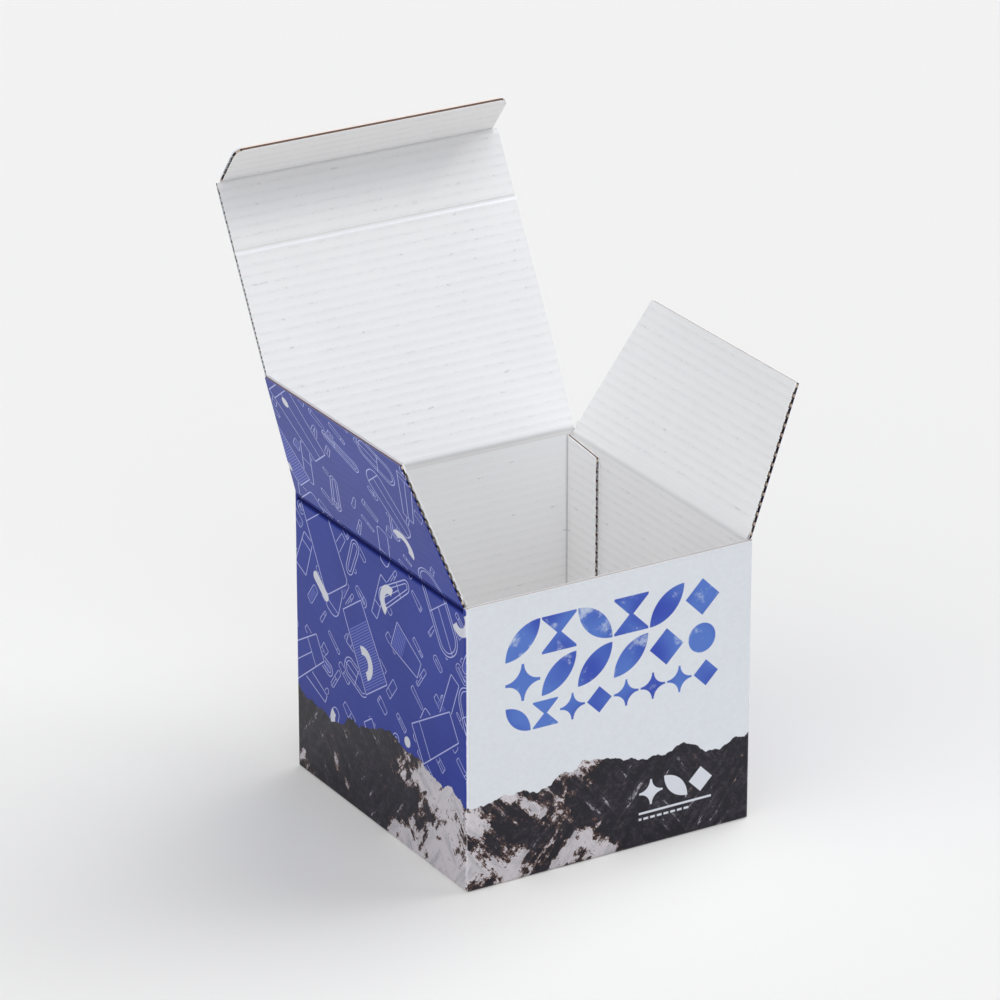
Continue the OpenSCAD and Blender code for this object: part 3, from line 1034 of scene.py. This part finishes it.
FLAPS = (
    LidDress(
        "lid",
        LID_PLACE,
        Face.PALE,
        CREASE_RUN,
        2 * BOARD,
        LID_LENGTH,
        # Painted shadow of the tuck on the lid's inside, from past the score to near the fold
        painted_shade_by=0.2,
        painted_shade_from=SCORE_AT + 1.0,
        painted_shade_to=LID_LENGTH - 5.7,
    ),
    FlapDress(
        "tuck_flap",
        BoardPlace(TUCK_POINT, 0.0, TUCK_BEND - LID_LEAN),
        Face.PALE,
        CREASE_RUN,
        CREASE_RUN + LINER,
        TUCK_LENGTH - 0.1,
        core_at=-0.22,
        core=0.48,
        crushed_core=0.4,
        lip=ink(238, 226, 216),
        # Painted shade over the whole of the tuck's inside
        painted_shade_by=0.1,
        painted_shade_from=-2.0,
        painted_shade_to=-1.0,
    ),
    FlapDress(
        "left_dust_flap",
        BoardPlace(LEFT_HINGE.point, 90.0, -LEFT_LEAN),
        *DUST_FLAP,
        core_at=0.2,
        core=0.33,
        crushed_core=0.2,
        rim=ink(198, 196, 200),
        lip=ink(104, 106, 150),
    ),
    FlapDress(
        "right_dust_flap",
        BoardPlace(RIGHT_HINGE.point, -90.0, -RIGHT_LEAN),
        *DUST_FLAP,
        core_at=0.25,
        core=0.44,
        crushed_core=0.5,
    ),
)

# Half the length of the skins
SIDE_FOLD = 53.9
LID_FOLD = 53.5
TUCK_FOLD = 52.2

# What the folds of both dust flaps share
DUST_FOLD = {"face": Face.BLUEPRINT, "pressed": True}

FOLDS = (
    Fold("left", LEFT_HINGE, -LEFT_LEAN, SIDE_FOLD, "left_flap_body", "left_flap_board", **DUST_FOLD),
    Fold("right", RIGHT_HINGE, -RIGHT_LEAN, SIDE_FOLD, "right_flap_body", "right_flap_board", **DUST_FOLD),
    Fold("lid", LID_HINGE, -LID_LEAN, LID_FOLD, "lid_body", "lid_board"),
    Fold("tuck", TUCK_HINGE, TUCK_BEND, TUCK_FOLD, "tuck_body", "lid_board", base_body="lid_body"),
)


def make_carton() -> None:
    """Dresses the boards and makes the skins of the creases."""
    dress("box_body", SleeveDress().material())
    for flap in FLAPS:
        dress(flap.node, flap.material())
    for side in Side:
        for fold in FOLDS:
            CreaseSkin(fold, side).make()


@dataclass(frozen=True)
class Lamp:
    """A soft sun: its azimuth, height and spread in degrees, and its strength."""

    name: str
    azimuth: float
    height: float
    energy: float
    spread: float
    tint: tuple[float, float, float] = (0.97, 0.99, 1.05)

    def make(self) -> None:
        """Hangs the lamp."""
        data = bpy.data.lights.new(self.name, "SUN")
        data.energy = self.energy
        data.angle = radians(self.spread)
        data.color = self.tint
        lamp = bpy.data.objects.new(self.name, data)
        around, up = radians(self.azimuth), radians(self.height)
        level = cos(up)
        towards = Vector((cos(around) * level, sin(around) * level, sin(up)))
        lamp.rotation_euler = towards.to_track_quat("Z", "Y").to_euler()
        bpy.context.scene.collection.objects.link(lamp)


@dataclass
class Studio:
    """A pale floor, soft light and the camera at the photograph's angle."""

    azimuth: float = -30.9
    elevation: float = 22.87
    distance: float = 1917.2
    shift_right: float = -7.06
    shift_up: float = 97.41
    focal_px: float = 5731.0
    frame_px: float = 1000.0
    sensor: float = 36.0
    clip: tuple[float, float] = (0.05, 100.0)
    floor_size: float = 14.0
    card: Colour = (0.948, 0.929, 0.876, 1.0)
    glow: float = 0.7
    glow_share: float = 0.324
    backdrop: Colour = ink(242, 242, 242)
    lamps: tuple[Lamp, ...] = (
        Lamp("key", 11.0, 58.0, 1.56, 50.0),
        Lamp("top", 45.0, 78.0, 0.36, 45.0),
        Lamp("low", 0.0, 30.0, 0.74, 50.0),
        Lamp("fill", -138.0, 43.0, 1.93, 95.0),
    )

    def floor(self) -> None:
        """A wide plane that keeps the carton's shadow."""
        mesh = bmesh.new()
        bmesh.ops.create_grid(mesh, x_segments=8, y_segments=8, size=self.floor_size)
        data = bpy.data.meshes.new("floor")
        mesh.to_mesh(data)
        mesh.free()
        piece = bpy.data.objects.new("floor", data)
        bpy.context.scene.collection.objects.link(piece)
        shade = Shade(bpy.data.materials.new("floor_card"))
        seen = shade.value(shade.node("ShaderNodeLightPath"), "Is Camera Ray")
        lit = shade.node("ShaderNodeBsdfDiffuse", inputs={"Color": self.card})
        glow = shade.node("ShaderNodeEmission", inputs={"Color": (1, 1, 1, 1), "Strength": self.glow})
        inputs = {0: seen * self.glow_share, 1: shade.value(lit), 2: shade.value(glow)}
        mixed = shade.node("ShaderNodeMixShader", inputs=inputs)
        shade.node("ShaderNodeOutputMaterial", inputs={0: shade.value(mixed)})
        data.materials.append(shade.owner)

    def world(self) -> None:
        """A backdrop in the floor's colour for the camera and for gloss. It gives no light."""
        world = bpy.data.worlds.new("studio")
        bpy.context.scene.world = world
        shade = Shade(world)
        path = shade.node("ShaderNodeLightPath")
        seen = shade.value(path, "Is Camera Ray") | shade.value(path, "Is Glossy Ray")
        seen = seen | shade.value(path, "Is Transmission Ray")
        dark = shade.node("ShaderNodeBackground", inputs={"Color": (0, 0, 0, 1), "Strength": 0.0})
        pale = shade.node("ShaderNodeBackground", inputs={"Color": self.backdrop, "Strength": 1.0})
        inputs = {0: seen, 1: shade.value(dark), 2: shade.value(pale)}
        mixed = shade.node("ShaderNodeMixShader", inputs=inputs)
        shade.node("ShaderNodeOutputWorld", inputs={0: shade.value(mixed)})

    def camera(self) -> None:
        """The camera, fitted to the photograph by the carton's corners."""
        a, e = radians(self.azimuth), radians(self.elevation)
        back = Vector((sin(a) * cos(e), -cos(a) * cos(e), sin(e)))
        right = Vector((cos(a), sin(a), 0.0))
        over = right.cross(-back)
        data = bpy.data.cameras.new("camera")
        data.sensor_width = self.sensor
        data.lens = self.focal_px * self.sensor / self.frame_px
        data.clip_start, data.clip_end = self.clip
        camera = bpy.data.objects.new("camera", data)
        place = back * self.distance + right * self.shift_right + over * self.shift_up
        camera.location = place * MM
        camera.rotation_mode = "QUATERNION"
        camera.rotation_quaternion = Matrix((right, over, back)).transposed().to_quaternion()
        bpy.context.scene.collection.objects.link(camera)
        bpy.context.scene.camera = camera

    def make(self) -> None:
        """Builds the studio."""
        self.floor()
        self.world()
        for lamp in self.lamps:
            lamp.make()
        self.camera()
        bpy.context.scene.view_settings.view_transform = "Standard"
        LOG.info("made the studio")


def main() -> None:
    """Builds the carton and the studio."""
    logging.basicConfig(level=logging.INFO, format="%(name)s: %(message)s")
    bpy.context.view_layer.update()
    make_carton()
    Studio().make()


if __name__ == "__main__":
    main()
